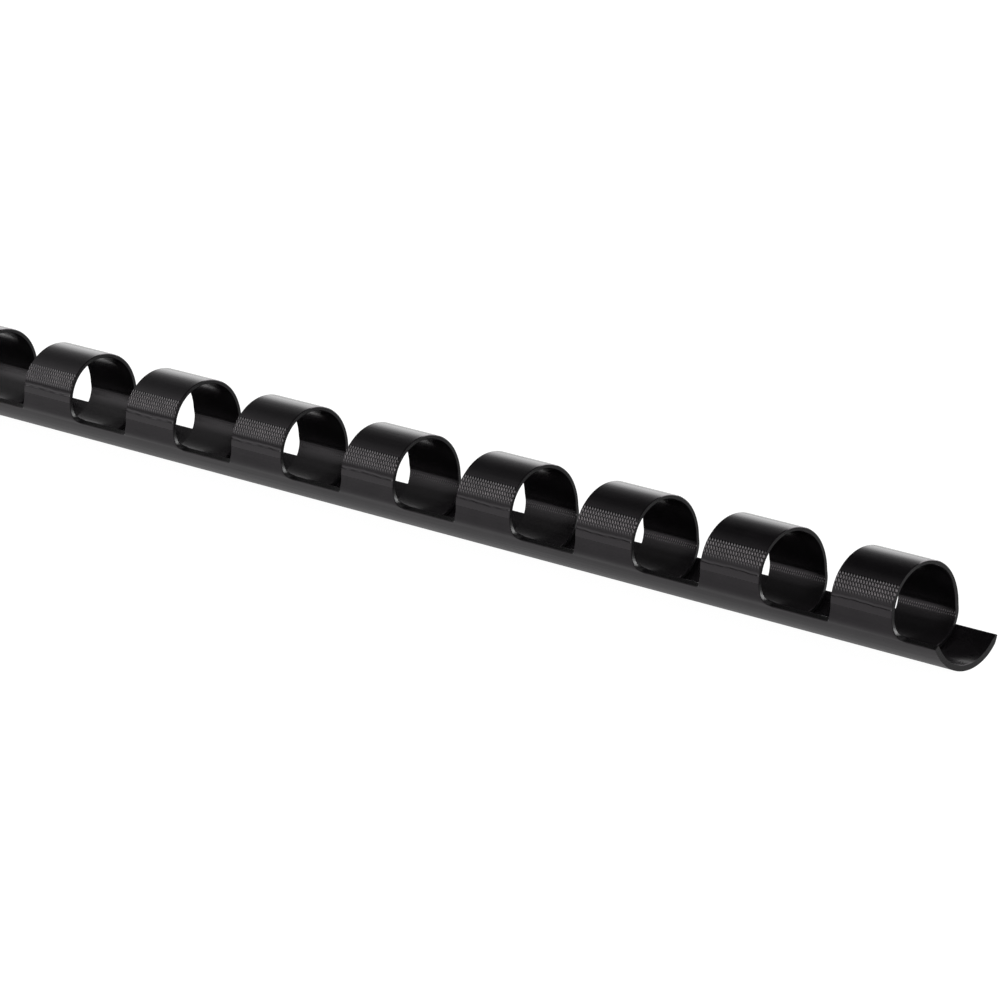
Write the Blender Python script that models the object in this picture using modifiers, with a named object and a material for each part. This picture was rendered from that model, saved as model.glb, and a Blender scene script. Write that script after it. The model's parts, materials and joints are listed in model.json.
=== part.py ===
"""Plastic binding comb for a 21-hole A4 edge: a channel-shaped spine with a row of curled fingers.

The comb lies along X with its spine down and its fingers closed. Each finger grows from the spine's
front edge, curls over the top and down the back, and tucks its rounded end inside the spine. It
opens by bending at two places, so it is divided there: at the front, and short of the top.
The channel is one sheet on a real comb. It is divided lengthwise into front, floor and rear strips,
so that each strip is nearly flat and the space inside the channel stays open between them.
Sections are drawn in Y and Z by polar angle about the comb's centre line: 180 is front, 90 is up.
"""

import math

import bmesh
import bpy

MM = 0.001

# Along the comb
RING_COUNT = 21
PITCH = 14.2875 * MM
RING_WIDTH = 6.51 * MM
END_MARGIN = 4.5 * MM
LENGTH = (RING_COUNT - 1) * PITCH + RING_WIDTH + 2 * END_MARGIN

# Spine section
SPINE_RADIUS = 4.13 * MM
SPINE_WALL = 0.50 * MM
SPINE_FACET = 9.0
SPINE_FRONT = -162.0
SPINE_REAR = -31.5
REAR_LIP_THINNING = 0.15 * MM
REST_HALF_ANGLE = 13.5
SPLIT_REAR, SPLIT_FRONT = -58.5, -121.5
SPLIT_GAP = 0.3 * MM
SPLIT_HALF_ANGLE = math.degrees(SPLIT_GAP / 2 / (SPINE_RADIUS - SPINE_WALL / 2))

# Finger section
FINGER_RADIUS = 3.86 * MM
FINGER_WALL = 0.38 * MM
FINGER_MIDDLE = FINGER_RADIUS - FINGER_WALL / 2
FINGER_TAPER = 0.15 * MM
FRONT_WALL_FOOT = -0.95 * MM
REAR_BULGE = 0.068 * MM
BULGE_FROM, BULGE_TO = 45.0, -48.0
CHANNEL_GAP = 0.25 * MM
TUCK_FROM, TUCK_TO = -19.0, -40.0
TUCK_DEPTH = FINGER_MIDDLE - (SPINE_RADIUS - SPINE_WALL - CHANNEL_GAP - FINGER_WALL / 2)
TIP_ANGLE = -100.0
TIP_CORNER = 1.6 * MM

# Bending places
ROOT_BEND = 180.0
TOP_BEND = 110.0
BEND_GAP = 0.3 * MM
BEND_HALF_ANGLE = math.degrees(BEND_GAP / 2 / FINGER_MIDDLE)
ARCH_FACETS = 8
HOOK_FACETS = 28

# Slots cut between the fingers, down to the spine's front edge
SLOT_FLOOR = -1.61 * MM
SLOT_CORNER_AFTER_RING = 1.3 * MM
SLOT_CORNER_BEFORE_RING = 0.5 * MM
SLOT_CORNER_SEGMENTS = 5
SLOT_DEPTH = 3.0 * MM
SLOT_TOP = 2.0 * MM

# The comb rests on a flat along the bottom of its spine, at Z = 0
CENTRE_Z = SPINE_RADIUS * math.cos(math.radians(REST_HALF_ANGLE))

BLACK_PVC = (0.012, 0.012, 0.013, 1.0)


def clear_scene():
    for obj in list(bpy.data.objects):
        bpy.data.objects.remove(obj)


def new_collection(name):
    collection = bpy.data.collections.new(name)
    bpy.context.scene.collection.children.link(collection)
    return collection


def pvc_material(name, roughness):
    material = bpy.data.materials.new(name)
    material.use_nodes = True
    shader = material.node_tree.nodes["Principled BSDF"]
    shader.inputs["Base Color"].default_value = BLACK_PVC
    shader.inputs["Roughness"].default_value = roughness
    shader.inputs["Metallic"].default_value = 0.0
    return material


def polar(radius, degrees):
    """A point (y, z) of a section, about the comb's centre line."""
    angle = math.radians(degrees)
    return radius * math.cos(angle), radius * math.sin(angle)


def steps(first, last, count):
    """Evenly spaced values, both ends included."""
    return [first + (last - first) * i / count for i in range(count + 1)]


def smooth(value):
    value = min(max(value, 0.0), 1.0)
    return value * value * (3 - 2 * value)


def finger_radius(degrees):
    """Middle of the finger's wall: round, a little full at the back, then stepping in to the spine."""
    across = (BULGE_FROM - degrees) / (BULGE_FROM - BULGE_TO)
    bulge = REAR_BULGE * math.sin(math.pi * min(max(across, 0.0), 1.0)) ** 2
    tuck = TUCK_DEPTH * smooth((TUCK_FROM - degrees) / (TUCK_FROM - TUCK_TO))
    return FINGER_MIDDLE + bulge - tuck


def channel_outline(first, last):
    """Outer and inner points of the spine's wall, from one angle round the front way to another."""
    facets = int((SPINE_REAR - last) / SPINE_FACET)
    corners = [SPINE_REAR - i * SPINE_FACET for i in range(facets + 1)]
    angles = [first] + [angle for angle in corners if last < angle < first] + [last]
    outer, inner = [], []
    for angle in angles:
        thinning = REAR_LIP_THINNING if angle == SPINE_REAR else 0.0
        y, z = polar(SPINE_RADIUS - thinning, angle)
        outer.append((y, max(z, -CENTRE_Z)))
        inner.append(polar(SPINE_RADIUS - SPINE_WALL + thinning, angle))
    return outer, inner


def closed_section(outline):
    outer, inner = outline
    return outer + inner[::-1]


def front_section():
    """The channel's front with the fingers' front wall, up to the first bend."""
    outer, inner = channel_outline(SPLIT_FRONT - SPLIT_HALF_ANGLE, SPINE_FRONT)
    wall_top = polar(FINGER_MIDDLE, ROOT_BEND)[1] - BEND_GAP / 2
    outer += [(-FINGER_RADIUS, FRONT_WALL_FOOT), (-FINGER_RADIUS, wall_top)]
    inner[-1:] = [(-FINGER_RADIUS + FINGER_WALL, FRONT_WALL_FOOT), (-FINGER_RADIUS + FINGER_WALL, wall_top)]
    return closed_section((outer, inner))


def floor_section():
    return closed_section(channel_outline(SPLIT_REAR - SPLIT_HALF_ANGLE, SPLIT_FRONT + SPLIT_HALF_ANGLE))


def rear_section():
    return closed_section(channel_outline(SPINE_REAR, SPLIT_REAR + SPLIT_HALF_ANGLE))


def prism_mesh(name, section, length):
    """A section (y, z) filled and extruded to a length along X, centred, as a welded mesh."""
    curve = bpy.data.curves.new(name, "CURVE")
    curve.dimensions = "2D"
    curve.fill_mode = "BOTH"
    curve.extrude = length / 2
    spline = curve.splines.new("POLY")
    spline.points.add(len(section) - 1)
    for point, (y, z) in zip(spline.points, section):
        point.co = (y, z, 0.0, 1.0)
    spline.use_cyclic_u = True
    flat = bpy.data.objects.new(name, curve)
    bpy.context.scene.collection.objects.link(flat)
    graph = bpy.context.evaluated_depsgraph_get()
    mesh = bpy.data.meshes.new_from_object(flat.evaluated_get(graph))
    bpy.data.objects.remove(flat)
    shape = bmesh.new()
    shape.from_mesh(mesh)
    bmesh.ops.remove_doubles(shape, verts=shape.verts, dist=1e-6)
    for vert in shape.verts:
        vert.co = (vert.co.z, vert.co.x, vert.co.y)
    bmesh.ops.recalc_face_normals(shape, faces=shape.faces)
    shape.to_mesh(mesh)
    shape.free()
    return mesh


def ring_start(index):
    """X of a finger's left edge; the fingers are counted from the comb's left end."""
    return (index - (RING_COUNT - 1) / 2) * PITCH - RING_WIDTH / 2


def slot_spans():
    """The X stretches with no finger: before the first finger, between fingers, and after the last."""
    beyond = LENGTH / 2 + SLOT_DEPTH
    starts = [-beyond] + [ring_start(i) + RING_WIDTH for i in range(RING_COUNT)]
    ends = [ring_start(i) for i in range(RING_COUNT)] + [beyond]
    return list(zip(starts, ends))


def round_lower_edge(shape, x, radius):
    edges = [
        edge
        for edge in shape.edges
        if all(abs(vert.co.x - x) < 1e-6 and abs(vert.co.z - SLOT_FLOOR) < 1e-6 for vert in edge.verts)
    ]
    bmesh.ops.bevel(shape, geom=edges, offset=radius, segments=SLOT_CORNER_SEGMENTS, affect="EDGES", profile=0.5)


def slot_cutter(collection):
    """One block for each slot, its lower corners rounded where the finger meets the spine."""
    shape = bmesh.new()
    for start, end in slot_spans():
        block = bmesh.ops.create_cube(shape, size=1.0)["verts"]
        bmesh.ops.scale(shape, verts=block, vec=(end - start, SLOT_DEPTH, SLOT_TOP - SLOT_FLOOR))
        bmesh.ops.translate(
            shape, verts=block, vec=((start + end) / 2, -SPINE_RADIUS, (SLOT_TOP + SLOT_FLOOR) / 2)
        )
        round_lower_edge(shape, start, SLOT_CORNER_AFTER_RING)
        round_lower_edge(shape, end, SLOT_CORNER_BEFORE_RING)
    mesh = bpy.data.meshes.new("slot_cutter")
    shape.to_mesh(mesh)
    shape.free()
    cutter = bpy.data.objects.new("slot_cutter", mesh)
    cutter.location.z = CENTRE_Z
    cutter.hide_render = True
    cutter.display_type = "WIRE"
    collection.objects.link(cutter)
    return cutter


def strip(collection, name, section, material):
    """One lengthwise strip of the spine."""
    mesh = prism_mesh(name, section, LENGTH)
    mesh.materials.append(material)
    obj = bpy.data.objects.new(name, mesh)
    obj.location.z = CENTRE_Z
    collection.objects.link(obj)
    return obj


def spine(collection, material, cutter):
    """The channel, and the finger roots that the slots leave standing along its front."""
    strip(collection, "spine_rear", rear_section(), material)
    strip(collection, "spine_floor", floor_section(), material)
    front = strip(collection, "spine_front", front_section(), material)
    slots = front.modifiers.new("slots", "BOOLEAN")
    slots.operation = "DIFFERENCE"
    slots.solver = "EXACT"
    slots.object = cutter


def half_width(degrees):
    """Half the finger's width, which narrows evenly by FINGER_TAPER from the front to the back."""
    return RING_WIDTH / 2 - FINGER_TAPER * (ROOT_BEND - degrees) / 180


def round_corner(to_tip):
    """How much narrower each side of a finger is, at a distance from its end, for its rounded corner."""
    into_corner = max(TIP_CORNER - to_tip, 0.0)
    return TIP_CORNER - math.sqrt(TIP_CORNER**2 - into_corner**2)


def band_mesh(name, angles, bend, material, rounded_end=False):
    """A strip of finger along the given angles, about its bend's axis; Solidify gives it its wall."""
    bend_y, bend_z = polar(finger_radius(bend), bend)
    points = [polar(finger_radius(angle), angle) for angle in angles]
    halves = [half_width(angle) for angle in angles]
    if rounded_end:
        halves = [half - round_corner(math.dist(point, points[-1])) for half, point in zip(halves, points)]
    shape = bmesh.new()
    line = [shape.verts.new((-half, y - bend_y, z - bend_z)) for half, (y, z) in zip(halves, points)]
    edges = [shape.edges.new(pair) for pair in zip(line, line[1:])]
    made = bmesh.ops.extrude_edge_only(shape, edges=edges)["geom"]
    for vert in (item for item in made if isinstance(item, bmesh.types.BMVert)):
        vert.co.x = -vert.co.x
    bmesh.ops.recalc_face_normals(shape, faces=shape.faces)
    mesh = bpy.data.meshes.new(name)
    shape.to_mesh(mesh)
    shape.free()
    mesh.materials.append(material)
    mesh.shade_smooth()
    return mesh


def band(collection, name, mesh, location, parent=None):
    """A finger segment whose origin lies on the axis it bends about."""
    obj = bpy.data.objects.new(name, mesh)
    obj.location = location
    obj.parent = parent
    wall = obj.modifiers.new("wall", "SOLIDIFY")
    wall.thickness = FINGER_WALL
    wall.offset = 0.0
    wall.use_even_offset = True
    collection.objects.link(obj)
    return obj


def fingers(collection, arch_material, hook_material):
    arch_angles = steps(ROOT_BEND - BEND_HALF_ANGLE, TOP_BEND + BEND_HALF_ANGLE, ARCH_FACETS)
    hook_angles = steps(TOP_BEND - BEND_HALF_ANGLE, TIP_ANGLE, HOOK_FACETS)
    arch_mesh = band_mesh("arch", arch_angles, ROOT_BEND, arch_material)
    hook_mesh = band_mesh("hook", hook_angles, TOP_BEND, hook_material, rounded_end=True)
    root_y, root_z = polar(finger_radius(ROOT_BEND), ROOT_BEND)
    top_y, top_z = polar(finger_radius(TOP_BEND), TOP_BEND)
    for index in range(RING_COUNT):
        name = f"ring_{index + 1:02d}"
        middle = ring_start(index) + RING_WIDTH / 2
        arch = band(collection, name + "_arch", arch_mesh, (middle, root_y, CENTRE_Z + root_z))
        band(collection, name + "_hook", hook_mesh, (0, top_y - root_y, top_z - root_z), parent=arch)


def main():
    clear_scene()
    comb = new_collection("binding_comb")
    cutters = new_collection("cutters")
    spine(comb, pvc_material("spine_pvc", 0.42), slot_cutter(cutters))
    fingers(comb, pvc_material("arch_pvc", 0.36), pvc_material("hook_pvc", 0.30))


main()
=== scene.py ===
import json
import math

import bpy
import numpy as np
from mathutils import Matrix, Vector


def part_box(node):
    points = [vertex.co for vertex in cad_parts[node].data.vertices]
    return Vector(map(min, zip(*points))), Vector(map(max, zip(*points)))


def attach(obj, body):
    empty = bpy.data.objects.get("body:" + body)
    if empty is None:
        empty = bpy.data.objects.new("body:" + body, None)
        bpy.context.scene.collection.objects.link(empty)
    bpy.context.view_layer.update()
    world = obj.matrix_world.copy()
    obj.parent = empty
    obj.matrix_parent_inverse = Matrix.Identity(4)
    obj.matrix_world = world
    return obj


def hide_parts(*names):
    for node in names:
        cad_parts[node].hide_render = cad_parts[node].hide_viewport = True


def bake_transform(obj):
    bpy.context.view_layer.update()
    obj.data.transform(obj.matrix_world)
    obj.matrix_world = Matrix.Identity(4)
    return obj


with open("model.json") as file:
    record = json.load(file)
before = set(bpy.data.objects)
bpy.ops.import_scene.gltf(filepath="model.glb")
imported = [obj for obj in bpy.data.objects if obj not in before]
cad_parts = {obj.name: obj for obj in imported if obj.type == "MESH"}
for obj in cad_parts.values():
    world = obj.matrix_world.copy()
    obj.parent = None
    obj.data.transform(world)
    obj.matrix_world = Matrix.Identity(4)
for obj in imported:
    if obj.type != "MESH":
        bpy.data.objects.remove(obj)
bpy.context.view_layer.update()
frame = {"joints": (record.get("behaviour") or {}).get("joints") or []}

# The look of a black plastic binding comb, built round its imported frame.
#
# The comb is drawn as the flat sheet that it is cut from, and then curled. A point of the sheet has x,
# along the comb, and u, the distance round the section from the line at the fingers' front where they
# first bend: positive on to a finger's tip, negative down into the spine. Angles are about the comb's
# centre line, 180 at the front, 90 on top and 0 at the back; the spine's rear lip is near 330.
# Named sizes are in millimetres, and the frame is in metres.

MM = 0.001

# ---------------------------------------------------------------- sizes from the frame

HINGES = {joint["name"]: Vector(joint["pos_m"]) / MM for joint in frame["joints"]}
RINGS = sorted(name[: -len("_root_bend")] for name in HINGES if name.endswith("_root_bend"))
RING_X = {ring: HINGES[ring + "_root_bend"].x for ring in RINGS}
CENTRE_Z = HINGES[RINGS[0] + "_root_bend"].z
FINGER_MIDDLE = -HINGES[RINGS[0] + "_root_bend"].y
LEFT_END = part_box("spine_floor")[0].x / MM
RIGHT_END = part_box("spine_floor")[1].x / MM
RING_WIDTH = (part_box("ring_01_arch")[1].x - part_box("ring_01_arch")[0].x) / MM

# ---------------------------------------------------------------- section of the sheet

SPINE_MIDDLE = 3.88
SPINE_WALL = 0.50
FINGER_WALL = 0.38
# The wall grows from a finger's to the spine's between these angles
WALL_FROM, WALL_TO = 188.0, 203.0
LIP_ANGLE = 328.5
LIP_THINNING = 0.30
LIP_TAPER = 10.0
# The upright front turns out into the spine's arc between these angles, with a slight flare at its foot
FOOT_FROM, FOOT_TO = 193.0, 206.0
FOOT_FLARE = 0.07
FOOT_FLARE_ANGLE, FOOT_FLARE_WIDTH = 199.0, 6.0
# A finger's middle line, as its angle and how far it lies inside the round of its front: nearly upright at
# the back, with a fold below the middle where it turns into the spine
FINGER_SHAPE = (
    (180.0, 0.00), (75.0, 0.00), (40.0, 0.06), (20.0, 0.11), (5.0, 0.105), (-6.0, 0.07), (-13.0, 0.02),
    (-15.0, 0.02), (-21.0, 0.055), (-31.0, 0.14), (-41.0, 0.245), (-52.0, 0.285), (-100.0, 0.29),
)
TIP_ANGLE = -100.0
ROOT_ANGLE = 180.0
SEAM_ANGLE = 139.5
FLOOR_ANGLE = 204.5
SECTION_STEP = 0.25

# ---------------------------------------------------------------- unevenness along the comb

# The spine's rear half is curled up by as much as LIP_SWING degrees to the right of LIP_LEVEL_AT, and
# down as much to the left
LIP_SWING, LIP_LEVEL_AT, LIP_SWING_LENGTH = 2.6, 92.0, 38.0
LIP_SWING_FROM, LIP_SWING_TO = 250.0, 310.0
# A finger's back leans to the right of its front, differently from finger to finger
LEAN, LEAN_WAVER = 0.55, 0.08

# ---------------------------------------------------------------- cut outline of the sheet

# The corners at a finger's foot are larger on its right
RIGHT_FILLET = 1.50
LEFT_FILLET = 0.50
# The fingers' feet reach this far above the slot floor, a little past the larger fillet
SHOULDER = 1.55
TIP_CORNER = 1.6
# How much narrower a finger is on each side for every half turn from its root
TAPER = 0.15
BEVEL = 0.055
END_BEVEL = 0.012

# ---------------------------------------------------------------- fineness of the meshes

FILLET_STEPS = 8
SEAM_ROW = 0.02
EDGE_ROW = 0.1
EDGE_COLUMN = 0.12
FOOT_ROW = 0.1
FOOT_COLUMNS = 12
SPINE_COLUMN = 1.2
SPINE_ROWS = 30
FRONT_COLUMNS = 132
KNURL_ROW_STEPS = 7
CURL_COLUMNS = 78
SAME_PLACE = 1e-4
ON_LINE = 1e-3
SHARP_ANGLE = 38.0

# ---------------------------------------------------------------- pressed bands

KNURL_BOTTOM, KNURL_TOP = 0.88, 2.52
KNURL_PITCH = 0.31
KNURL_ROWS = 5
KNURL_ROW = (KNURL_TOP - KNURL_BOTTOM) / KNURL_ROWS
KNURL_SLANT = 0.35
KNURL_HEIGHT = 0.060
KNURL_BUMP = 0.03
KNURL_LEAD = 0.4
CREASE = 0.54
CREASE_DEPTH = 0.060
CREASE_WIDTH = 0.075
# The rows that hold the crease reach this far to both sides of it
CREASE_REACH = 0.2
INNER_BAND_FROM, INNER_BAND_TO = -14.5, -25.0
INNER_PITCH = 0.25
INNER_ROW = 0.25
INNER_HEIGHT = 0.010
INNER_BUMP = 0.006
INNER_LEAD = 0.02
# The painted highlight on the inner bands' ridges grows more and more between these places along the comb
INNER_GLINT_FROM, INNER_GLINT_TO = 70.0, 125.0
# Relief fades out over this distance from a finger's cut edges
EDGE_FADE = 0.15


def smooth(value):
    """A smooth step from 0 to 1 as value goes from 0 to 1."""
    value = np.clip(value, 0.0, 1.0)
    return value * value * (3 - 2 * value)


def finger_radius(angle):
    """A smooth curve through FINGER_SHAPE."""
    knots, depths = np.array(FINGER_SHAPE)[::-1].T
    slopes = np.gradient(depths, knots)
    i = np.clip(np.searchsorted(knots, angle, side="right") - 1, 0, len(knots) - 2)
    span = knots[i + 1] - knots[i]
    t = np.clip((angle - knots[i]) / span, 0, 1)
    ends = depths[i] * (1 + 2 * t) * (1 - t) ** 2 + depths[i + 1] * t**2 * (3 - 2 * t)
    bends = span * (slopes[i] * t * (1 - t) ** 2 - slopes[i + 1] * t**2 * (1 - t))
    return FINGER_MIDDLE - ends - bends


def spine_radius(angle):
    """The upright front wall, which turns out into the spine's arc."""
    wall = FINGER_MIDDLE / np.abs(np.cos(np.radians(np.clip(angle, ROOT_ANGLE, FOOT_TO))))
    flare = FOOT_FLARE * np.exp(-(((angle - FOOT_FLARE_ANGLE) / FOOT_FLARE_WIDTH) ** 2))
    share = smooth((angle - FOOT_FROM) / (FOOT_TO - FOOT_FROM))
    return wall + (SPINE_MIDDLE - wall) * share + flare


def wall_thickness(angle):
    """A finger's wall, the thicker one of the spine, and the spine's thinned rear lip."""
    spine = SPINE_WALL - LIP_THINNING * smooth((angle - LIP_ANGLE + LIP_TAPER) / LIP_TAPER)
    share = smooth((angle - WALL_FROM) / (WALL_TO - WALL_FROM))
    return FINGER_WALL + (spine - FINGER_WALL) * share


def make_section():
    """The middle line of the wall from the rear lip to the fingertip, as arrays read by u."""
    angle = np.linspace(LIP_ANGLE, TIP_ANGLE, round((LIP_ANGLE - TIP_ANGLE) / SECTION_STEP) + 1)
    radius = np.where(angle < ROOT_ANGLE, finger_radius(angle), spine_radius(angle))
    y = radius * np.cos(np.radians(angle))
    z = radius * np.sin(np.radians(angle))
    length = np.concatenate([[0.0], np.cumsum(np.hypot(np.diff(y), np.diff(z)))])
    u = length - np.interp(-ROOT_ANGLE, -angle, length)
    along_y, along_z = np.gradient(y, u), np.gradient(z, u)
    size = np.hypot(along_y, along_z)
    return {
        "u": u,
        "angle": angle,
        "y": y,
        "z": z,
        "out_y": -along_z / size,
        "out_z": along_y / size,
        "wall": wall_thickness(angle),
    }


SECTION = make_section()


def at(u, key):
    """A quantity of the section at u."""
    return np.interp(u, SECTION["u"], SECTION[key])


def u_of(angle):
    """The u of an angle."""
    return float(np.interp(-angle, -SECTION["angle"], SECTION["u"]))


U_LIP = u_of(LIP_ANGLE)
U_FLOOR = u_of(FLOOR_ANGLE)
U_SHOULDER = U_FLOOR + SHOULDER
U_SEAM = u_of(SEAM_ANGLE)
U_BAND, U_BAND_END = u_of(INNER_BAND_FROM), u_of(INNER_BAND_TO)
U_TIP = u_of(TIP_ANGLE)

# ---------------------------------------------------------------- patterns in the flat sheet


def stops(*runs):
    """A rising list of values from runs of (first, last, number of steps) that follow each other."""
    values = [runs[0][0]]
    for first, last, count in runs:
        values += [first + (last - first) * i / count for i in range(1, count + 1)]
    return values


def grid_cells(columns, rows):
    """Cells between columns and rows, each its four corners (x, u)."""
    return [
        [(x0, u0), (x1, u0), (x1, u1), (x0, u1)]
        for x0, x1 in zip(columns, columns[1:])
        for u0, u1 in zip(rows, rows[1:])
    ]


def quarter_turn():
    """Angles from 0 to 90 degrees, in radians."""
    return [math.pi / 2 * i / FILLET_STEPS for i in range(FILLET_STEPS + 1)]


def fillet_columns(edge, side, radius):
    return [edge + side * radius * (1 - math.cos(turn)) for turn in quarter_turn()]


def fillet_cells(edge, side, radius):
    """The rounded corner between a finger's edge and the slot's floor. side is 1 on its right."""
    tops = [radius * (1 - math.sin(turn)) for turn in quarter_turn()]
    columns = list(zip(fillet_columns(edge, side, radius), tops))
    levels = stops((0.0, 1.0, round(radius / FOOT_ROW)))
    cells = []
    for (x0, top0), (x1, top1) in zip(columns, columns[1:]):
        for low, high in zip(levels, levels[1:]):
            corners = [
                (x0, U_FLOOR + low * top0),
                (x1, U_FLOOR + low * top1),
                (x1, U_FLOOR + high * top1),
                (x0, U_FLOOR + high * top0),
            ]
            cells.append(corners if side > 0 else corners[::-1])
    return cells


def spine_cells():
    """The channel from lip to slot floor along the whole comb, and the foot of every finger."""
    foot_levels = stops(
        (0.0, RIGHT_FILLET, round(RIGHT_FILLET / FOOT_ROW)),
        (RIGHT_FILLET, SHOULDER - SEAM_ROW, 1),
        (SHOULDER - SEAM_ROW, SHOULDER, 1),
    )
    columns, feet = {LEFT_END, RIGHT_END}, []
    for x in RING_X.values():
        left, right = x - RING_WIDTH / 2, x + RING_WIDTH / 2
        inside = stops(
            (left, left + EDGE_COLUMN, 1),
            (left + EDGE_COLUMN, right - EDGE_COLUMN, FOOT_COLUMNS),
            (right - EDGE_COLUMN, right, 1),
        )
        columns.update(inside)
        columns.update(fillet_columns(right, 1, RIGHT_FILLET))
        columns.update(fillet_columns(left, -1, LEFT_FILLET))
        feet += grid_cells(inside, [U_FLOOR + level for level in foot_levels])
        feet += fillet_cells(right, 1, RIGHT_FILLET)
        feet += fillet_cells(left, -1, LEFT_FILLET)
    ordered = sorted(columns)
    kept = [ordered[0]] + [b for a, b in zip(ordered, ordered[1:]) if b - a > SAME_PLACE]
    runs = [(a, b, max(1, round((b - a) / SPINE_COLUMN))) for a, b in zip(kept, kept[1:])]
    rows = stops(
        (U_LIP, U_LIP + EDGE_ROW, 1),
        (U_LIP + EDGE_ROW, U_FLOOR - EDGE_ROW, SPINE_ROWS),
        (U_FLOOR - EDGE_ROW, U_FLOOR, 1),
    )
    return grid_cells(stops(*runs), rows) + feet


def front_cells():
    """A finger's front, with columns and rows close enough together to hold its knurled band."""
    columns = stops((-RING_WIDTH / 2, RING_WIDTH / 2, FRONT_COLUMNS))
    rows = stops(
        (U_SHOULDER, U_SHOULDER + SEAM_ROW, 1),
        (U_SHOULDER + SEAM_ROW, CREASE - CREASE_REACH, 4),
        (CREASE - CREASE_REACH, CREASE + CREASE_REACH, 14),
        (CREASE + CREASE_REACH, KNURL_BOTTOM, 2),
        (KNURL_BOTTOM, KNURL_TOP, KNURL_ROW_STEPS * KNURL_ROWS),
        (KNURL_TOP, U_SEAM - SEAM_ROW, 1),
        (U_SEAM - SEAM_ROW, U_SEAM, 1),
    )
    return grid_cells(columns, rows)


def curl_half_width(u):
    """Half the width of the curled part before its taper, which rounds off at the tip."""
    into_corner = max(TIP_CORNER - (U_TIP - u), 0.0)
    return RING_WIDTH / 2 - TIP_CORNER + math.sqrt(max(TIP_CORNER**2 - into_corner**2, 0.0))


def curl_cells():
    """The rest of a finger, over the top and down the back to its rounded tip."""
    shares = stops((-1.0, 1.0, CURL_COLUMNS))
    upper_back, below_fold = u_of(10.0), u_of(-54.0)
    rows = stops(
        (U_SEAM, U_SEAM + SEAM_ROW, 1),
        (U_SEAM + SEAM_ROW, upper_back, 32),
        (upper_back, U_BAND, 14),
        (U_BAND, U_BAND_END, 20),
        (U_BAND_END, below_fold, 12),
        (below_fold, U_TIP - TIP_CORNER, 10),
    )
    rows += [U_TIP - TIP_CORNER + TIP_CORNER * math.sin(turn) for turn in quarter_turn()[1:]]
    cells = []
    for u0, u1 in zip(rows, rows[1:]):
        half0, half1 = curl_half_width(u0), curl_half_width(u1)
        for s0, s1 in zip(shares, shares[1:]):
            cells.append([(s0 * half0, u0), (s1 * half0, u0), (s1 * half1, u1), (s0 * half1, u1)])
    return cells


def joined(cells):
    """Cells with shared corners made one: (points, faces)."""
    index, points, faces = {}, [], []
    for cell in cells:
        face = []
        for corner in cell:
            key = tuple(round(value / SAME_PLACE) for value in corner)
            if key not in index:
                index[key] = len(points)
                points.append(corner)
            if index[key] not in face:
                face.append(index[key])
        if len(face) > 2:
            faces.append(face)
    return np.array(points), faces


def insets(points, cut):
    """For each point on a cut edge, the step that moves it inwards by 1 from every edge it is on."""
    normals = {}
    for a, b in cut:
        dx, du = points[b] - points[a]
        inward = np.array([-du, dx]) / math.hypot(dx, du)
        normals.setdefault(a, []).append(inward)
        normals.setdefault(b, []).append(inward)
    found = {}
    for point, sides in normals.items():
        total = sum(sides)
        found[point] = total / (1 + sides[0] @ sides[1]) if len(sides) == 2 else total
    return found


def pattern(cells, seams):
    """A closed skin over flat cells: two faces of sheet, bevelled cut edges, and plain ends at seams.

    Its points are the outer face's, the inner face's, and the outer and inner rims of the cut edge.
    The comb's two ends are cut sharper than the slots between the fingers.
    """
    points, faces = joined(cells)
    edges = {(a, b) for face in faces for a, b in zip(face, face[1:] + face[:1])}
    border = sorted(edge for edge in edges if edge[::-1] not in edges)

    def on_seam(edge):
        return any(all(abs(points[end][1] - seam) < ON_LINE for end in edge) for seam in seams)

    seam_edges = [edge for edge in border if on_seam(edge)]
    cut = [edge for edge in border if not on_seam(edge)]
    inset = insets(points, cut)
    rim = sorted(inset)
    count, rim_at = len(points), {point: i for i, point in enumerate(rim)}

    def outer_rim(point):
        return 2 * count + rim_at[point]

    def inner_rim(point):
        return 2 * count + len(rim) + rim_at[point]

    skin = faces + [[count + point for point in face[::-1]] for face in faces]
    for a, b in seam_edges:
        near = [outer_rim(a), inner_rim(a)] if a in rim_at else []
        far = [inner_rim(b), outer_rim(b)] if b in rim_at else []
        skin.append([b, a, *near, count + a, count + b, *far])
    for a, b in cut:
        skin.append([b, a, outer_rim(a), outer_rim(b)])
        skin.append([inner_rim(b), inner_rim(a), count + a, count + b])
    cut_faces = [[outer_rim(b), outer_rim(a), inner_rim(a), inner_rim(b)] for a, b in cut]
    bevel = np.where(np.abs(points[:, 0]) > RIGHT_END - ON_LINE, END_BEVEL, BEVEL)
    shift = np.zeros_like(points)
    for point, step in inset.items():
        shift[point] = bevel[point] * step
    return {
        "inset": points + shift,
        "rim": points[rim],
        "bevel": bevel[rim],
        "faces": skin + cut_faces,
        "skin": len(skin),
    }


# ---------------------------------------------------------------- relief pressed into the sheet


def no_relief(x, u):
    return 0.0 * x


def flecks(x, u, pitch, row, slant, worn):
    """Short slanted ridges in rows, from 0 to 1, each row half a pitch on from the last."""
    band = u / row
    turn = 2 * math.pi * (x + slant * u) / pitch + math.pi * np.floor(band)
    ridge = (0.5 + 0.5 * np.cos(turn)) * (0.5 - 0.5 * np.cos(2 * math.pi * band)) ** 0.5
    patch = 0.5 + 0.5 * np.sin(1.9 * x + worn) * np.sin(2.3 * u + 1.3 * x + 2 * worn)
    return ridge * (0.70 + 0.30 * patch)


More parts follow.
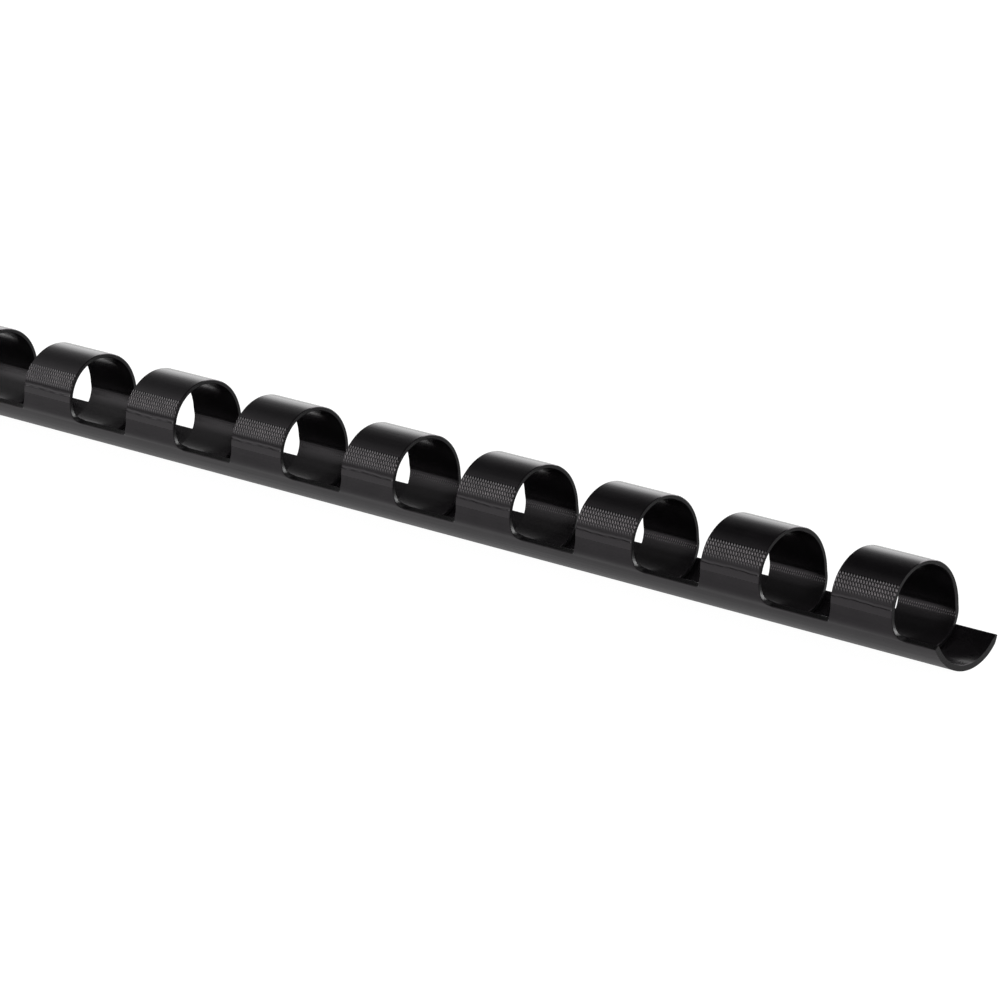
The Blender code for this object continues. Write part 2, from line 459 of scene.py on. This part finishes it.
def front_relief(x, u, centre, worn):
    """The knurled band low on a finger's front, and the crease where the finger first bends."""
    side = smooth((RING_WIDTH / 2 - np.abs(x)) / EDGE_FADE)
    inside = smooth((u - KNURL_BOTTOM) / 0.45) * smooth((KNURL_TOP - u) / 0.30)
    band = flecks(x + centre, u - KNURL_BOTTOM, KNURL_PITCH, KNURL_ROW, KNURL_SLANT, worn)
    waver = 0.03 * np.sin(1.1 * x + worn) + 0.012 * np.sin(4.3 * x + 2 * worn)
    crease = np.exp(-(((u - CREASE - waver) / CREASE_WIDTH) ** 2))
    return KNURL_HEIGHT * band * side * inside - CREASE_DEPTH * crease * side


def back_relief(x, u, centre, worn):
    """A fainter band inside the finger's back."""
    side = smooth((RING_WIDTH / 2 - np.abs(x)) / EDGE_FADE)
    inside = smooth((u - U_BAND) / 0.1) * smooth((U_BAND_END - u) / 0.5)
    band = flecks(x + centre, u - U_BAND, INNER_PITCH, INNER_ROW, 0.0, worn)
    return INNER_HEIGHT * band * side * inside


# ---------------------------------------------------------------- curling the sheet


def lean_of(number):
    """How far a finger's back stands off to the right of its front; the end fingers stand straighter."""
    from_right = len(RINGS) - 1 - number
    from_end = min(number, from_right)
    return LEAN * (1 - math.exp(-(from_end + 0.9))) + LEAN_WAVER * math.sin(2.4 * from_right)


def lip_turn(x, angle):
    """How far the spine's rear half is curled up, which varies along the comb, in radians."""
    share = smooth((angle - LIP_SWING_FROM) / (LIP_SWING_TO - LIP_SWING_FROM))
    return math.radians(LIP_SWING) * np.tanh((x - LIP_LEVEL_AT) / LIP_SWING_LENGTH) * share


def curl(x, u, offset, centre=0.0, lean=0.0):
    """Points of the sheet, offset outwards from its middle, as places in the frame.

    A finger narrows and leans from its root on, and the spine's rear half has a turn of its own.
    """
    angle = at(u, "angle")
    half_turns = np.clip((ROOT_ANGLE - angle) / 180, 0, None)
    narrowed = 1 - TAPER / (RING_WIDTH / 2) * half_turns
    y = at(u, "y") + at(u, "out_y") * offset
    z = at(u, "z") + at(u, "out_z") * offset
    turn = lip_turn(centre + x, angle)
    y, z = y * np.cos(turn) - z * np.sin(turn), y * np.sin(turn) + z * np.cos(turn)
    leaning = lean * (half_turns + 1.1 * smooth(-angle / 55))
    return np.stack([centre + x * narrowed + leaning, y, z + CENTRE_Z], axis=1) * MM


def skin_points(flat, outer_relief, inner_relief, centre=0.0, lean=0.0):
    """All the points of a pattern in the frame, and the places on the sheet that they come from."""
    x, u = flat["inset"].T
    rim_x, rim_u = flat["rim"].T
    half, rim_half = at(u, "wall") / 2, at(rim_u, "wall") / 2 - flat["bevel"]
    layers = [
        (x, u, half + outer_relief(x, u)),
        (x, u, -half - inner_relief(x, u)),
        (rim_x, rim_u, rim_half),
        (rim_x, rim_u, -rim_half),
    ]
    places = np.concatenate([curl(*layer, centre, lean) for layer in layers])
    sheets = [
        np.stack([layer_x + centre, layer_u, np.sign(offset)], axis=1) for layer_x, layer_u, offset in layers
    ]
    return places, np.concatenate(sheets)


def mesh_of(name, flat):
    """A mesh with a pattern's faces, its skin in the first material and its cut edges in the second."""
    places, _ = skin_points(flat, no_relief, no_relief)
    mesh = bpy.data.meshes.new(name)
    mesh.from_pydata([tuple(place) for place in places.tolist()], [], flat["faces"])
    material = np.ones(len(flat["faces"]), np.int32)
    material[: flat["skin"]] = 0
    mesh.polygons.foreach_set("material_index", material)
    mesh.shade_smooth()
    mesh.set_sharp_from_angle(angle=math.radians(SHARP_ANGLE))
    mesh.attributes.new("sheet", "FLOAT_VECTOR", "POINT")
    return mesh


def piece(name, mesh, places, sheet, materials):
    """An object with a copy of a mesh whose points are moved to their places."""
    mesh = mesh.copy()
    mesh.name = name
    mesh.vertices.foreach_set("co", places.astype(np.float32).ravel())
    mesh.attributes["sheet"].data.foreach_set("vector", sheet.astype(np.float32).ravel())
    mesh.update()
    for material in materials:
        mesh.materials.append(material)
    obj = bpy.data.objects.new(name, mesh)
    bpy.context.scene.collection.objects.link(obj)
    return obj


# ---------------------------------------------------------------- materials


# How far apart in the noise the sheet's two sides lie
SIDES_APART = 7.0
DARK_CUT, PALE_CUT = (0.0030, 0.0028, 0.0031), (0.0065, 0.0060, 0.0066)
CUT_ROUGHNESS = (0.24, 0.34)
CUT_SPECULAR = 0.16
# Painted highlight: the pressed ridges are coloured pale to stand in for the glints on them
CREST_HIGHLIGHT_COLOUR = (0.25, 0.23, 0.24)
SPECULAR_TINT = (1.0, 0.92, 0.98, 1.0)


class Nodes:
    """Short calls for building a material's nodes."""

    def __init__(self, name):
        self.material = bpy.data.materials.new(name)
        self.material.use_nodes = True
        self.tree = self.material.node_tree
        self.shader = self.tree.nodes["Principled BSDF"]

    def add(self, kind, inputs=(), **settings):
        node = self.tree.nodes.new("ShaderNode" + kind)
        for key, value in settings.items():
            setattr(node, key, value)
        for key, value in dict(inputs).items():
            if isinstance(value, bpy.types.NodeSocket):
                self.tree.links.new(value, node.inputs[key])
            else:
                node.inputs[key].default_value = value
        return node

    def sheet(self):
        """The place on the sheet: x and u in millimetres, then 1 on its outer side or -1 on its inner."""
        return self.add("Attribute", attribute_name="sheet").outputs["Vector"]

    def split_sheet(self):
        return self.add("SeparateXYZ", {0: self.sheet()}).outputs

    def noise(self, along, round_section, detail=2.0, roughness=0.5):
        """Noise with so many features a millimetre along the comb and round the section."""
        scale = (along, round_section, SIDES_APART)
        where = self.add("VectorMath", {0: self.sheet(), 1: scale}, operation="MULTIPLY").outputs["Vector"]
        inputs = {"Vector": where, "Scale": 1.0, "Detail": detail, "Roughness": roughness}
        return self.add("TexNoise", inputs).outputs["Fac"]

    def compute(self, operation, first, second=0.0):
        return self.add("Math", {0: first, 1: second}, operation=operation).outputs[0]

    def mapped(self, value, low, high, to_low, to_high):
        node = self.add("MapRange", {"Value": value, 1: low, 2: high, 3: to_low, 4: to_high}, clamp=True)
        return node.outputs["Result"]

    def mixed(self, share, first, second):
        node = self.add("Mix", data_type="RGBA")
        self.tree.links.new(share, node.inputs[0])
        for slot, colour in ((6, first), (7, second)):
            if isinstance(colour, bpy.types.NodeSocket):
                self.tree.links.new(colour, node.inputs[slot])
            else:
                node.inputs[slot].default_value = (*colour, 1.0)
        return node.outputs[2]

    def bump(self, height, strength, depth, under=None):
        inputs = {"Height": height, "Strength": strength, "Distance": depth * MM}
        if under is not None:
            inputs["Normal"] = under
        return self.add("Bump", inputs).outputs["Normal"]

    def link(self, value, name):
        self.tree.links.new(value, self.shader.inputs[name])


def knurl_lines(nodes, side, first, last, pitch, row, slant, lead):
    """The height of the ridges, as in flecks(), on one side of the sheet from u = first to last.

    They rise over the distance lead at the start of the band, and fade out at its end.
    """
    x, u, facing = nodes.split_sheet()
    up = nodes.compute("SUBTRACT", u, first)
    band = nodes.compute("DIVIDE", up, row)
    slanted = nodes.compute("ADD", x, nodes.compute("MULTIPLY", up, slant))
    stagger = nodes.compute("MULTIPLY", nodes.compute("FLOOR", band), math.pi)
    turn = nodes.compute("ADD", nodes.compute("MULTIPLY", slanted, 2 * math.pi / pitch), stagger)
    across = nodes.mapped(nodes.compute("COSINE", turn), -1.0, 1.0, 0.0, 1.0)
    rise = nodes.compute("COSINE", nodes.compute("MULTIPLY", band, 2 * math.pi))
    ridge = nodes.compute("MULTIPLY", across, nodes.compute("SQRT", nodes.mapped(rise, -1.0, 1.0, 1.0, 0.0)))
    fade = nodes.mapped(nodes.compute("SUBTRACT", last, u), 0.0, 0.3, 0.0, 1.0)
    inside = nodes.compute("MULTIPLY", nodes.mapped(up, 0.0, lead, 0.0, 1.0), fade)
    on_side = nodes.mapped(nodes.compute("MULTIPLY", facing, side), 0.5, 0.9, 0.0, 1.0)
    return nodes.compute("MULTIPLY", ridge, nodes.compute("MULTIPLY", inside, on_side))


def press_knurl(nodes, colour, surface, patches, along):
    """Adds the pressed bands to a finger's colour and surface: fine bumps, with a painted highlight on their
    crests.
    """
    front = knurl_lines(nodes, 1, KNURL_BOTTOM, KNURL_TOP, KNURL_PITCH, KNURL_ROW, KNURL_SLANT, KNURL_LEAD)
    back = knurl_lines(nodes, -1, U_BAND, U_BAND_END, INNER_PITCH, INNER_ROW, 0.0, INNER_LEAD)
    surface = nodes.bump(front, 1.0, KNURL_BUMP, surface)
    surface = nodes.bump(back, 1.0, INNER_BUMP, surface)
    front_glint_share = nodes.mapped(patches, 0.3, 0.6, 0.55, 1.0)
    towards_right_end = nodes.mapped(along, INNER_GLINT_FROM, INNER_GLINT_TO, 0.0, 0.75)
    # Painted highlight: the ridges' crests are mixed towards a pale colour, in patches on the front band and
    # more towards the comb's right end on the inner band
    for ridges, share in ((front, front_glint_share), (back, towards_right_end)):
        crest_glints = nodes.compute("MULTIPLY", nodes.mapped(ridges, 0.30, 0.85, 0.0, 1.0), share)
        colour = nodes.mixed(crest_glints, colour, CREST_HIGHLIGHT_COLOUR)
    return colour, surface


def pvc(name, deep, worn, gloss, dull, inner_roughness, specular, streak, knurled=False):
    """Black rigid PVC: lines drawn out along the comb, a fine grain, and specks and patches of wear.

    Its roughness goes from gloss to dull where it is rubbed, and is inner_roughness on the inner side.
    """
    nodes = Nodes(name)
    along, _, facing = nodes.split_sheet()
    lines = nodes.noise(0.05, 7.0, detail=3.0)
    fine_lines = nodes.noise(0.12, 26.0, detail=2.0)
    grain = nodes.noise(16.0, 16.0, detail=2.0)
    patches = nodes.noise(0.35, 0.55, detail=3.0)
    specks = nodes.mapped(nodes.noise(5.0, 5.0, detail=1.0), 0.70, 0.78, 0.0, 1.0)
    colour = nodes.mixed(nodes.mapped(patches, 0.35, 0.7, 0.0, 1.0), deep, worn)
    rubbed = nodes.compute("MAXIMUM", nodes.mapped(lines, 0.3, 0.7, 0.0, 0.7), specks)
    outside = nodes.mapped(rubbed, 0.0, 1.0, gloss, dull)
    inner = nodes.mapped(facing, -0.9, 0.0, 1.0, 0.0)
    rougher = nodes.compute("MULTIPLY", inner, nodes.compute("SUBTRACT", inner_roughness, outside))
    nodes.link(nodes.compute("ADD", outside, rougher), "Roughness")
    surface = nodes.bump(lines, streak, 0.02)
    surface = nodes.bump(fine_lines, streak, 0.006, surface)
    surface = nodes.bump(grain, 0.25, 0.004, surface)
    if knurled:
        colour, surface = press_knurl(nodes, colour, surface, patches, along)
    nodes.link(colour, "Base Color")
    nodes.link(surface, "Normal")
    nodes.shader.inputs["Specular Tint"].default_value = SPECULAR_TINT
    nodes.shader.inputs["Specular IOR Level"].default_value = specular
    return nodes.material


def cut_pvc(name):
    """The die-cut edge of the sheet, with fine marks on it."""
    nodes = Nodes(name)
    marks = nodes.noise(9.0, 9.0, detail=3.0)
    nodes.link(nodes.mixed(nodes.mapped(marks, 0.3, 0.7, 0.0, 1.0), DARK_CUT, PALE_CUT), "Base Color")
    nodes.link(nodes.mapped(marks, 0.3, 0.7, *CUT_ROUGHNESS), "Roughness")
    nodes.link(nodes.bump(marks, 0.4, 0.01), "Normal")
    nodes.shader.inputs["Specular IOR Level"].default_value = CUT_SPECULAR
    return nodes.material


SPINE_PVC = pvc(
    "spine_pvc",
    deep=(0.0065, 0.0058, 0.0067),
    worn=(0.0100, 0.0090, 0.0102),
    gloss=0.44,
    dull=0.56,
    inner_roughness=0.22,
    specular=0.21,
    streak=0.18,
)
FINGER_PVC = pvc(
    "finger_pvc",
    deep=(0.0030, 0.0026, 0.0032),
    worn=(0.0052, 0.0046, 0.0054),
    gloss=0.13,
    dull=0.22,
    inner_roughness=0.23,
    specular=0.32,
    streak=0.15,
    knurled=True,
)
CUT_PVC = cut_pvc("cut_pvc")

# ---------------------------------------------------------------- the comb


def make_spine():
    """The channel along the whole comb, with the fingers' feet."""
    flat = pattern(spine_cells(), [U_SHOULDER])
    places, sheet = skin_points(flat, no_relief, no_relief)
    spine = piece("spine_channel", mesh_of("spine_channel", flat), places, sheet, [SPINE_PVC, CUT_PVC])
    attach(spine, "spine")
    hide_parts("spine_front", "spine_floor", "spine_rear")


def make_rings():
    """A front and a curl for each finger, of one pattern each, with wear and lean of its own."""
    front, curled = pattern(front_cells(), [U_SHOULDER, U_SEAM]), pattern(curl_cells(), [U_SEAM])
    front_mesh, curled_mesh = mesh_of("front", front), mesh_of("curl", curled)
    for number, ring in enumerate(RINGS):
        worn, lean, centre = 1.7 * number, lean_of(number), RING_X[ring]

        def outer_relief(x, u):
            return front_relief(x, u, centre, worn)

        def inner_relief(x, u):
            return back_relief(x, u, centre, worn)

        places, sheet = skin_points(front, outer_relief, no_relief, centre, lean)
        face = piece(ring + "_front", front_mesh, places, sheet, [FINGER_PVC, CUT_PVC])
        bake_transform(face)
        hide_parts(ring + "_arch")
        places, sheet = skin_points(curled, no_relief, inner_relief, centre, lean)
        curl_piece = piece(ring + "_curl", curled_mesh, places, sheet, [FINGER_PVC, CUT_PVC])
        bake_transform(curl_piece)
        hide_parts(ring + "_hook")


# ---------------------------------------------------------------- floor, light and camera

# Just under the spine, whose round bottom reaches a little below the frame's flat
FLOOR_LEVEL = -0.13
ROOM_STRENGTH = 3.2
# Brightness of the room at heights from 0, level with the comb, to 1, straight overhead
ROOM_BY_HEIGHT = (
    (0.00, 0.45),
    (0.08, 0.45),
    (0.15, 1.00),
    (0.39, 1.00),
    (0.45, 0.62),
    (0.50, 0.38),
    (0.57, 0.19),
    (0.64, 0.12),
    (0.69, 0.06),
    (0.74, 0.015),
)
# Brightness of the room round the comb, from 0, away from ROOM_FRONT, to 1, towards it
ROOM_FRONT = (0.25, -0.968, 0.0)
ROOM_BY_DIRECTION = (
    (0.35, 0.625),
    (0.53, 1.00),
    (0.58, 1.00),
    (0.70, 0.17),
    (0.725, 0.20),
    (0.775, 0.56),
    (0.86, 0.46),
    (0.95, 0.08),
)


def make_floor():
    """Pale paper that shines a little, so that it stays even under the soft light."""
    mesh = bpy.data.meshes.new("floor")
    reach = 3.0
    corners = [(-reach, -reach, 0), (reach, -reach, 0), (reach, reach, 0), (-reach, reach, 0)]
    mesh.from_pydata(corners, [], [(0, 1, 2, 3)])
    floor = bpy.data.objects.new("floor", mesh)
    floor.location.z = FLOOR_LEVEL * MM
    nodes = Nodes("floor_paper")
    nodes.shader.inputs["Base Color"].default_value = (0.10, 0.10, 0.10, 1.0)
    nodes.shader.inputs["Roughness"].default_value = 0.9
    nodes.shader.inputs["Specular IOR Level"].default_value = 0.1
    nodes.shader.inputs["Emission Color"].default_value = (1.0, 1.0, 1.0, 1.0)
    nodes.shader.inputs["Emission Strength"].default_value = 0.98
    mesh.materials.append(nodes.material)
    bpy.context.scene.collection.objects.link(floor)


def grey_ramp(tree, value, levels):
    """A grey that follows a value, from its levels at places from 0 to 1."""
    ramp = tree.nodes.new("ShaderNodeValToRGB")
    while len(ramp.color_ramp.elements) < len(levels):
        ramp.color_ramp.elements.new(1.0)
    for element, (place, level) in zip(ramp.color_ramp.elements, levels):
        element.position = place
        element.color = (level, level, level, 1.0)
    tree.links.new(value, ramp.inputs["Fac"])
    return ramp.outputs["Color"]


def make_world():
    """A pale room that is bright low down and dim overhead, with a darker stretch round the comb."""
    world = bpy.data.worlds.new("studio")
    bpy.context.scene.world = world
    world.use_nodes = True
    tree = world.node_tree
    where = tree.nodes.new("ShaderNodeTexCoord")
    height = tree.nodes.new("ShaderNodeSeparateXYZ")
    tree.links.new(where.outputs["Generated"], height.inputs[0])
    by_height = grey_ramp(tree, height.outputs["Z"], ROOM_BY_HEIGHT)
    towards = tree.nodes.new("ShaderNodeVectorMath")
    towards.operation = "DOT_PRODUCT"
    tree.links.new(where.outputs["Generated"], towards.inputs[0])
    towards.inputs[1].default_value = ROOM_FRONT
    half_turn = tree.nodes.new("ShaderNodeMapRange")
    half_turn.inputs["From Min"].default_value = -1.0
    tree.links.new(towards.outputs["Value"], half_turn.inputs["Value"])
    by_direction = grey_ramp(tree, half_turn.outputs["Result"], ROOM_BY_DIRECTION)
    shaded = tree.nodes.new("ShaderNodeVectorMath")
    shaded.operation = "MULTIPLY"
    tree.links.new(by_height, shaded.inputs[0])
    tree.links.new(by_direction, shaded.inputs[1])
    tree.links.new(shaded.outputs["Vector"], tree.nodes["Background"].inputs["Color"])
    tree.nodes["Background"].inputs["Strength"].default_value = ROOM_STRENGTH


def make_light(name, energy, width, azimuth, elevation):
    """Light from a round box, seen from the comb at an azimuth and elevation and so many degrees wide."""
    light = bpy.data.lights.new(name, "SUN")
    light.energy = energy
    light.angle = math.radians(width)
    lamp = bpy.data.objects.new(name, light)
    lamp.rotation_euler = (0, math.radians(90 - elevation), math.radians(azimuth))
    bpy.context.scene.collection.objects.link(lamp)


def make_camera():
    """A long lens at the comb's right end, looking back along it."""
    azimuth, elevation = math.radians(46.36), math.radians(14.31)
    aim, distance = Vector((98.12, 0.0, CENTRE_Z - 0.17)) * MM, 474.54 * MM
    level = math.cos(elevation)
    back = Vector((math.sin(azimuth) * level, -math.cos(azimuth) * level, math.sin(elevation)))
    camera = bpy.data.objects.new("camera", bpy.data.cameras.new("camera"))
    camera.data.lens = 203.58
    camera.data.sensor_width = 36.0
    camera.data.clip_start, camera.data.clip_end = 0.01, 20.0
    camera.location = aim + back * distance
    camera.rotation_euler = (-back).to_track_quat("-Z", "Y").to_euler()
    bpy.context.scene.collection.objects.link(camera)
    bpy.context.scene.camera = camera


make_camera()
make_world()
make_light("overhead", energy=0.25, width=30, azimuth=180, elevation=85)
make_light("back_right", energy=3.40, width=40, azimuth=72, elevation=36)
make_floor()
make_spine()
make_rings()
bpy.context.scene.view_settings.view_transform = "Standard"
